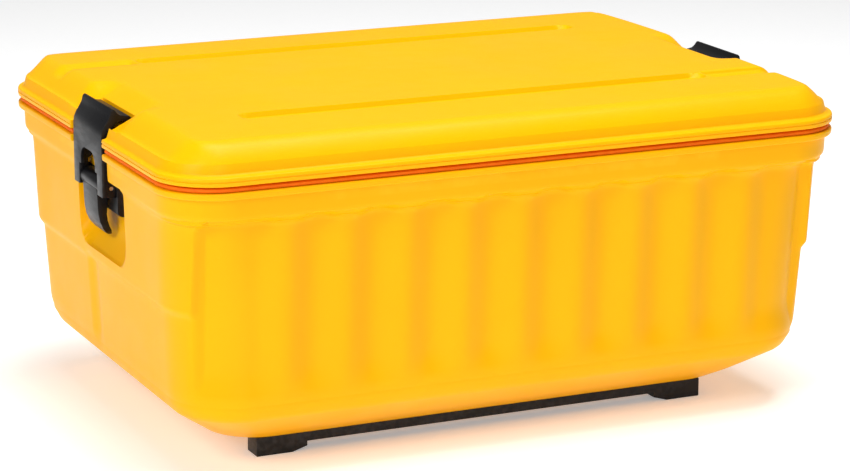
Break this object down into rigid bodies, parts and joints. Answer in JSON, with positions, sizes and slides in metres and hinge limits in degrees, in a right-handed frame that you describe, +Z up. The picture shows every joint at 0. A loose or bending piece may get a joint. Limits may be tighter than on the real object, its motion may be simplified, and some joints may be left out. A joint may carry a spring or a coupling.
{
  "type": "insulated toolbox with tray",
  "caption": "Double-walled toolbox with a lift-off lid, rubber seal, over-centre draw latches at the ends, skid runners, a stackable grooved top and a lift-out divided tray",
  "frame": {"origin": "the middle of the surface that the box stands on", "axes": "+X along the long side, from the left latch to the right latch; -Y is the front long side; +Z is up"},
  "size_m": [0.69, 0.5, 0.321],
  "materials": {
    "yellow_shell": "satin",
    "yellow_liner": "satin",
    "foam": "matte",
    "black_plastic": "satin",
    "latch_black": "satin",
    "steel": "satin",
    "seal_rubber": "matte",
    "tray_plastic": "satin"
  },
  "bodies": {
    "tub": {"outer_shell": "yellow_shell", "inner_liner": "yellow_liner", "body_foam": "foam", "front_runner": "black_plastic", "rear_runner": "black_plastic", "runner_screws": "steel", "bracket_left": "black_plastic", "bracket_right": "black_plastic", "bracket_screws_left": "steel", "bracket_screws_right": "steel", "lever_pins_left": "steel", "lever_pins_right": "steel"},
    "lid": {"lid_shell": "yellow_shell", "lid_liner": "yellow_liner", "lid_foam": "foam", "lid_seal": "seal_rubber"},
    "lever_left_body": {"lever_left": "latch_black", "hook_pin_left": "steel"},
    "lever_right_body": {"lever_right": "latch_black", "hook_pin_right": "steel"},
    "hook_left_body": {"hook_left": "latch_black"},
    "hook_right_body": {"hook_right": "latch_black"},
    "tray": {"tray_body": "tray_plastic", "tray_handle": "black_plastic", "tray_dividers": "tray_plastic"}
  },
  "joints": [
    {"name": "lid_lift", "type": "slide", "parent": "tub", "child": "lid", "axis": [0, 0, 1], "range_m": [0, 0.5]},
    {"name": "tray_lift", "type": "slide", "parent": "tub", "child": "tray", "axis": [0, 0, 1], "range_m": [0, 0.25]},
    {"name": "lever_turn_left", "type": "hinge", "parent": "tub", "child": "lever_left_body", "pos_m": [-0.3345, -0.01, 0.263], "axis": [0, 1, 0], "range_deg": [0, 95]},
    {"name": "hook_swing_left", "type": "hinge", "parent": "lever_left_body", "child": "hook_left_body", "pos_m": [-0.3345, -0.01, 0.242], "axis": [0, -1, 0], "range_deg": [0, 131]},
    {"name": "lever_turn_right", "type": "hinge", "parent": "tub", "child": "lever_right_body", "pos_m": [0.3345, -0.01, 0.263], "axis": [0, -1, 0], "range_deg": [0, 95]},
    {"name": "hook_swing_right", "type": "hinge", "parent": "lever_right_body", "child": "hook_right_body", "pos_m": [0.3345, -0.01, 0.242], "axis": [0, 1, 0], "range_deg": [0, 131]}
  ],
  "couplings": [
    {"joint": "tray_lift", "follows": "lid_lift", "ratio": 0.5},
    {"joint": "hook_swing_left", "follows": "lever_turn_left", "ratio": 1.37},
    {"joint": "hook_swing_right", "follows": "lever_turn_right", "ratio": 1.37}
  ]
}
